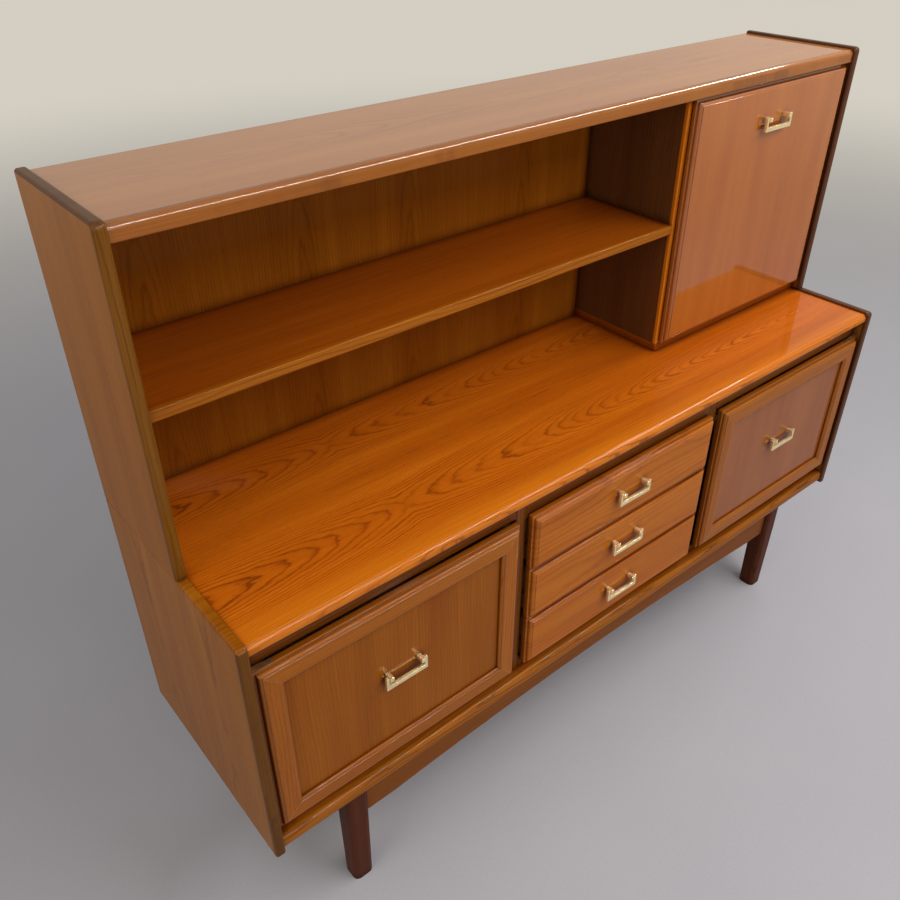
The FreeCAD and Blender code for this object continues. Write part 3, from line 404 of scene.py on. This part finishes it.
# the door panels: painted shade on the left one, painted light on the right one
for hand, panel, gloss in (("left", PANEL_SHADED_LEFT, 0.22), ("right", PANEL_LIT_RIGHT, 0.60)):
    WOODS[f"door_{hand}_panel"] = dict(tones=panel, along="z", face="y", leaf=0.150,
                                       start=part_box(f"door_{hand}_panel")[0].x,
                                       contrast=0.24, gloss=gloss)
    for part, along in (("stiles", "z"), ("rails", "x")):
        WOODS[f"door_{hand}_{part}"] = dict(tones=FRAME, along=along, face="y", contrast=0.25,
                                            gloss=0.36)
for k in (1, 2, 3):
    WOODS[f"drawer_{k}_front"] = dict(tones=DRAWER, along="x", face="y", figure="crown",
                                      leaf=0.16, start=-0.30 + 0.13 * k, heart=0.6, depth=0.10,
                                      slope=0.015, contrast=0.32, gloss=0.30)
    WOODS[f"drawer_{k}_box"] = dict(tones=BEECH, along="y", face="x", contrast=0.22, gloss=0.0)

SEED_STEP = 0.618           # a seed of its own for each board
for index, (name, look) in enumerate(sorted(WOODS.items())):
    material = wood("wood_" + name, seed=1.0 + SEED_STEP * index, **look)
    nodes[name].data.materials.clear()
    nodes[name].data.materials.append(material)

# ---------------------------------------------------------------- metal, board and plastic


def brass():
    graph = Graph("polished_brass")
    place = graph.place()
    tarnish = graph.noise(place, scale=60.0, detail=3.0)
    scratch = graph.noise(place, scale=900.0, detail=2.0)
    colour = graph.ramp(tarnish, [(0.25, (0.84, 0.66, 0.34)), (0.50, (0.94, 0.79, 0.46)),
                                  (0.80, (0.97, 0.86, 0.56))])
    return graph.surface(base_color=colour, metallic=0.80,
                         roughness=graph.scale_add(scratch, 0.10, 0.20),
                         normal=graph.bump(scratch, 0.02, 0.0001, graph.edge(0.0009)))


def steel(name, dark, light, rough, metallic=1.0):
    graph = Graph(name)
    place = graph.place()
    patch = graph.noise(place, scale=140.0, detail=3.0)
    colour = graph.ramp(patch, [(0.30, dark), (0.70, light)])
    return graph.surface(base_color=colour, metallic=metallic,
                         roughness=graph.scale_add(patch, 0.15, rough),
                         normal=graph.bump(patch, 0.10, 0.0003, graph.edge(0.0003)))


def hardboard():
    graph = Graph("brown_hardboard")
    place = graph.place()
    clouds = graph.noise(place, scale=9.0, detail=3.0)
    flecks = graph.noise(place, scale=420.0, detail=3.0, rough=0.7)
    mixed = graph.math("ADD", graph.scale_add(clouds, 0.45), graph.scale_add(flecks, 0.55))
    colour = graph.ramp(mixed, [(0.30, (0.150, 0.080, 0.040)), (0.50, (0.270, 0.155, 0.080)),
                                (0.72, (0.380, 0.240, 0.135))])
    return graph.surface(base_color=colour, roughness=graph.scale_add(flecks, 0.2, 0.55),
                         specular_ior_level=0.3, normal=graph.bump(flecks, 0.25, 0.0005))


def plywood():
    graph = Graph("birch_plywood")
    x, y, z = graph.position()
    streak = graph.noise(graph.vector(graph.scale_add(x, 5.0), graph.scale_add(y, 240.0), z))
    cloud = graph.noise(graph.vector(graph.scale_add(x, 2.0), graph.scale_add(y, 14.0), z),
                        detail=3.0)
    mixed = graph.math("ADD", graph.scale_add(streak, 0.5), graph.scale_add(cloud, 0.5))
    colour = graph.ramp(mixed, [(0.32, (0.400, 0.270, 0.150)), (0.52, (0.560, 0.410, 0.250)),
                                (0.70, (0.660, 0.510, 0.340))])
    return graph.surface(base_color=colour, roughness=graph.scale_add(streak, 0.15, 0.5),
                         specular_ior_level=0.3, normal=graph.bump(mixed, 0.15, 0.0004))


def plastic():
    graph = Graph("brown_plastic")
    place = graph.place()
    grain = graph.noise(place, scale=700.0, detail=2.0)
    cloud = graph.noise(place, scale=60.0)
    colour = graph.ramp(cloud, [(0.3, (0.040, 0.026, 0.018)), (0.7, (0.062, 0.040, 0.027))])
    return graph.surface(base_color=colour, roughness=graph.scale_add(grain, 0.15, 0.35),
                         normal=graph.bump(grain, 0.12, 0.0003, graph.edge(0.0005)))


BRASS = brass()
BRONZE = steel("bronzed_steel", (0.125, 0.048, 0.014), (0.215, 0.088, 0.028), 0.42, metallic=0.35)
SCREW = steel("steel_screw", (0.12, 0.10, 0.08), (0.26, 0.22, 0.17), 0.32)
HARDBOARD = hardboard()
PLYWOOD = plywood()
PLASTIC = plastic()

for name, node in nodes.items():
    if name in WOODS:
        continue
    if "handle" in name:
        material = BRASS
    elif "hinge" in name:
        material = BRONZE
    elif name == "base_back":
        material = HARDBOARD
    elif name.endswith("_bottom"):
        material = PLYWOOD
    else:
        material = PLASTIC
    node.data.materials.clear()
    node.data.materials.append(material)

# ---------------------------------------------------------------- screws


DISC_SIDES = 20
DISC_SHARE = 0.45           # of the head's height
SLOT_SHARE = 0.16           # half the slot's width, of the head's radius
HALF_ARC = 9                # steps round each half of the head
HEAD_PROFILE = ((0.999, DISC_SHARE), (0.94, 0.72), (0.72, 0.95), (0.60, 1.0))


def add_screw(mesh, place, normal, radius, height, turn):
    """A slotted head: two rounded halves on a thin disc."""
    slot = radius * SLOT_SHARE
    axis = Vector(normal)
    frame_turn = axis.to_track_quat("Z", "Y").to_matrix().to_4x4()
    matrix = Matrix.Translation(Vector(place)) @ frame_turn @ Matrix.Rotation(turn, 4, "Z")

    def ring(points, level):
        return [mesh.verts.new(matrix @ Vector((x, y, level))) for x, y in points]

    def solid(rows):
        for lower, upper in zip(rows, rows[1:]):
            for i in range(len(lower)):
                j = (i + 1) % len(lower)
                mesh.faces.new((lower[i], lower[j], upper[j], upper[i]))
        mesh.faces.new(rows[-1])
        mesh.faces.new(list(reversed(rows[0])))

    angles = [2 * math.pi * i / DISC_SIDES for i in range(DISC_SIDES)]
    disc = [(radius * math.cos(a), radius * math.sin(a)) for a in angles]
    solid([ring(disc, 0.0), ring(disc, height * DISC_SHARE)])
    for sign in (1, -1):
        rows = []
        for share, level in HEAD_PROFILE:
            r = radius * share
            first = math.asin(slot / r)
            arc = [first + (math.pi - 2 * first) * i / HALF_ARC for i in range(HALF_ARC + 1)]
            points = [(r * math.cos(a), sign * r * math.sin(a)) for a in arc]
            if sign < 0:
                points.reverse()
            rows.append(ring(points, height * level))
        solid(rows)


def screws(name, body, rows, radius=0.0022, height=0.0006):
    """One mesh of screw heads, each turned another way. rows: (place, normal)."""
    mesh = bmesh.new()
    for index, (place, normal) in enumerate(rows):
        add_screw(mesh, place, normal, radius, height, 0.4 + 1.9 * index)
    data = bpy.data.meshes.new(name)
    mesh.to_mesh(data)
    mesh.free()
    data.materials.append(SCREW)
    piece = bpy.data.objects.new(name, data)
    bpy.context.scene.collection.objects.link(piece)
    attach(piece, body)


BACKWARDS, UP, DOWN = (0, 1, 0), (0, 0, 1), (0, 0, -1)
SHELF_MIDDLE, HUTCH_PARTITION, BASE_PARTITION = 1.032, 0.297, 0.2705    # boards behind the back
PIVOT_Y = -0.202
BRACKET_X, BRACKET_LEVELS = 0.8058, (0.7105, 0.3235)
PLATE_X, PLATE_TOP, PLATE_UNDER = 0.7725, 0.7012, 0.3328
FLAP_SCREWS = (0.367, 0.397, 0.704, 0.734)

back_rows = [((x, BACK_FACE, SHELF_MIDDLE), BACKWARDS)
             for x in (-0.74, -0.54, -0.34, -0.14, 0.06, 0.24)]
back_rows += [((HUTCH_PARTITION, BACK_FACE, z), BACKWARDS) for z in (0.84, 0.98, 1.12, 1.25)]
back_rows += [((x, BACK_FACE, z), BACKWARDS) for x in (-BASE_PARTITION, BASE_PARTITION)
              for z in (0.35, 0.46, 0.58, 0.70)]
screws("back_panel_screws", "carcass", back_rows, radius=0.0034, height=0.0012)

bracket_rows = [((sign * BRACKET_X, PIVOT_Y, z), (-sign, 0, 0))
                for sign in (-1, 1) for z in BRACKET_LEVELS]
bracket_rows += [((x, -0.0055, 0.7802), UP) for x in FLAP_SCREWS]
screws("cabinet_hinge_screws", "carcass", bracket_rows)
for hand, sign in (("left", -1), ("right", 1)):
    screws(f"door_{hand}_plate_screws", f"door_{hand}",
           [((sign * PLATE_X, PIVOT_Y, PLATE_TOP), UP),
            ((sign * PLATE_X, PIVOT_Y, PLATE_UNDER), DOWN)])
screws("flap_leaf_screws", "flap", [((x, -0.0163, 0.7905), BACKWARDS) for x in FLAP_SCREWS])

# ---------------------------------------------------------------- floor, light and camera

BACKDROP = (0.66, 0.62, 0.54)
HAZE, OVERHEAD = (0.92, 0.85, 0.72), (1.0, 0.99, 0.975)
CAMERA_PLACE, CAMERA_LENS, SENSOR_WIDTH = (-1.1245, -1.0361, 1.6604), 35.203, 36.0


def background_rays(tree):
    """1 for the rays that show the background: camera, glossy and transmission rays."""
    path = tree.nodes.new("ShaderNodeLightPath")
    seen = path.outputs["Is Camera Ray"]
    for name in ("Is Glossy Ray", "Is Transmission Ray"):
        largest = tree.nodes.new("ShaderNodeMath")
        largest.operation = "MAXIMUM"
        tree.links.new(seen, largest.inputs[0])
        tree.links.new(path.outputs[name], largest.inputs[1])
        seen = largest.outputs[0]
    return seen


def floor_material(near=1.5, far=7.0):
    """Painted concrete that turns into a pale backdrop away from the object."""
    graph = Graph("pale_floor")
    place = graph.place()
    cloud = graph.noise(place, scale=2.3, detail=3.0)
    fleck = graph.noise(place, scale=160.0, detail=2.0)
    mixed = graph.math("ADD", graph.scale_add(cloud, 0.5), graph.scale_add(fleck, 0.5))
    colour = graph.ramp(mixed, [(0.3, (0.375, 0.380, 0.435)), (0.7, (0.405, 0.410, 0.465))])
    graph.surface(base_color=colour, roughness=0.80, specular_ior_level=0.0)
    painted = graph.output.inputs["Surface"].links[0].from_socket
    backdrop = graph.add("ShaderNodeEmission")
    graph.put(backdrop.inputs["Color"], (*BACKDROP, 1.0))
    away = graph.add("ShaderNodeVectorMath", operation="LENGTH")
    graph.put(away.inputs[0], place)
    blend = graph.add("ShaderNodeMixShader")
    graph.put(blend.inputs[0], graph.math("MULTIPLY", background_rays(graph.tree),
                                          graph.step(away.outputs["Value"], near, far)))
    graph.put(blend.inputs[1], painted)
    graph.put(blend.inputs[2], backdrop.outputs[0])
    graph.put(graph.output.inputs["Surface"], blend.outputs[0])
    return graph.material


def add_floor(half=30.0):
    data = bpy.data.meshes.new("floor")
    data.from_pydata([(-half, -half, 0), (half, -half, 0), (half, half, 0), (-half, half, 0)],
                     [], [(0, 1, 2, 3)])
    data.materials.append(floor_material())
    floor = bpy.data.objects.new("floor", data)
    bpy.context.scene.collection.objects.link(floor)


def add_world(ambient=0.40):
    world = bpy.data.worlds.new("studio")
    bpy.context.scene.world = world
    world.use_nodes = True
    tree = world.node_tree
    tree.nodes.clear()
    output = tree.nodes.new("ShaderNodeOutputWorld")
    background = tree.nodes.new("ShaderNodeBackground")
    strength = tree.nodes.new("ShaderNodeMapRange")
    strength.inputs["To Min"].default_value = ambient
    strength.inputs["To Max"].default_value = 1.0
    tree.links.new(background_rays(tree), strength.inputs["Value"])
    tree.links.new(strength.outputs[0], background.inputs["Strength"])
    # the backdrop's colour at eye level and below it, nearly white overhead
    direction = tree.nodes.new("ShaderNodeSeparateXYZ")
    tree.links.new(tree.nodes.new("ShaderNodeTexCoord").outputs["Generated"], direction.inputs[0])
    height = tree.nodes.new("ShaderNodeValToRGB")
    ramp = height.color_ramp.elements
    ramp.new(0.35)
    for element, colour in zip(ramp, (BACKDROP, HAZE, OVERHEAD)):
        element.color = (*colour, 1.0)
    tree.links.new(direction.outputs[2], height.inputs[0])
    tree.links.new(height.outputs[0], background.inputs["Color"])
    tree.links.new(background.outputs[0], output.inputs["Surface"])


def add_lamp(name, place, target, size, power, colour=(1.0, 0.97, 0.93)):
    data = bpy.data.lights.new(name, "AREA")
    data.shape = "RECTANGLE"
    data.size, data.size_y = size
    data.energy = power
    data.color = colour
    lamp = bpy.data.objects.new(name, data)
    lamp.location = place
    lamp.rotation_euler = (Vector(target) - Vector(place)).to_track_quat("-Z", "Y").to_euler()
    bpy.context.scene.collection.objects.link(lamp)


def add_camera():
    """The photograph's viewpoint: place, and the directions of its right, up and back."""
    right = (0.77063, -0.63728, -0.00198)
    up = (0.36159, 0.43470, 0.82480)
    back = (-0.52476, -0.63633, 0.56543)
    data = bpy.data.cameras.new("camera")
    data.sensor_width = SENSOR_WIDTH
    data.lens = CAMERA_LENS
    camera = bpy.data.objects.new("camera", data)
    turn = Matrix((right, up, back)).transposed()
    camera.matrix_world = Matrix.Translation(CAMERA_PLACE) @ turn.to_4x4()
    bpy.context.scene.collection.objects.link(camera)
    bpy.context.scene.camera = camera


add_floor()
add_world()
add_lamp("tube", (1.5, -1.2, 2.8), (0.2, 0.0, 0.8), (4.2, 0.10), 92.0, (1.0, 0.95, 0.87))
add_lamp("front", (-0.8, -3.8, 2.0), (0.0, 0.0, 0.8), (2.6, 1.6), 45.0)
add_lamp("fill", (-2.6, -0.4, 1.7), (-0.6, 0.0, 1.1), (1.5, 1.5), 20.0, (1.0, 0.90, 0.74))
add_camera()
bpy.context.scene.view_settings.view_transform = "Standard"
